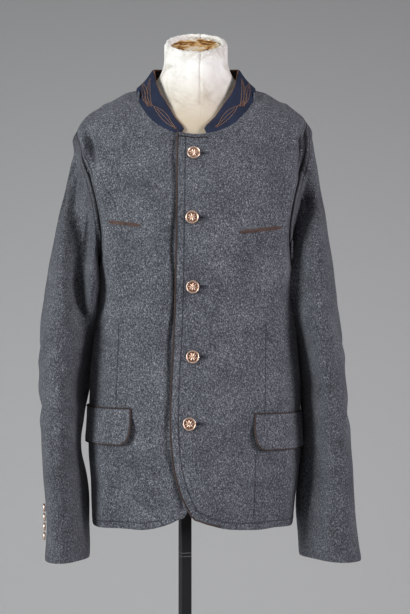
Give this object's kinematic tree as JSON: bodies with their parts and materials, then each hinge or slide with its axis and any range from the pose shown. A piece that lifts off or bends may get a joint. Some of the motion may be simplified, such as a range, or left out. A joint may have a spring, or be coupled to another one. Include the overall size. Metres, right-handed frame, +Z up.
{
  "type": "tyrolean loden jacket on a dress form",
  "caption": "Grey loden stand-collar jacket with piped edges, hip flaps and metal buttons, closed on a white limbless dress form with a post and a round foot.",
  "frame": {"origin": "middle of the footprint, on the floor", "axes": "+Z up, the jacket's front faces -Y, the wearer's left is +X"},
  "size_m": [0.5129, 0.34, 1.5143],
  "materials": {
    "loden": "matte, felted grey melange wool",
    "navy_felt": "matte navy wool felt",
    "brown_lining": "dark brown woven cloth",
    "brown_cord": "brown twisted piping",
    "brown_suede": "brown suede",
    "antique_copper": "antique copper, satin",
    "white_jersey": "off-white cotton jersey",
    "old_plaster": "aged plaster, matte",
    "black_paint": "black paint, satin"
  },
  "bodies": {
    "root": {"back": "loden", "front_left": "loden", "front_right": "loden", "sleeve_left_top": "loden", "sleeve_left_under": "loden", "sleeve_right_top": "loden", "sleeve_right_under": "loden", "flap_left": "loden", "flap_right": "loden", "collar": "navy_felt", "collar_inside": "brown_lining", "collar_piping": "brown_cord", "edge_piping": "brown_cord", "flap_piping_left": "brown_cord", "flap_piping_right": "brown_cord", "welt_left": "brown_suede", "welt_right": "brown_suede", "dress_form": "white_jersey", "neck_plug": "old_plaster", "post": "black_paint", "base": "black_paint", "button_1": "antique_copper", "button_2": "antique_copper", "button_3": "antique_copper", "button_4": "antique_copper", "button_5": "antique_copper", "cuff_button_left_1": "antique_copper", "cuff_button_left_2": "antique_copper", "cuff_button_left_3": "antique_copper", "cuff_button_left_4": "antique_copper", "cuff_button_right_1": "antique_copper", "cuff_button_right_2": "antique_copper", "cuff_button_right_3": "antique_copper", "cuff_button_right_4": "antique_copper"}
  },
  "joints": []
}
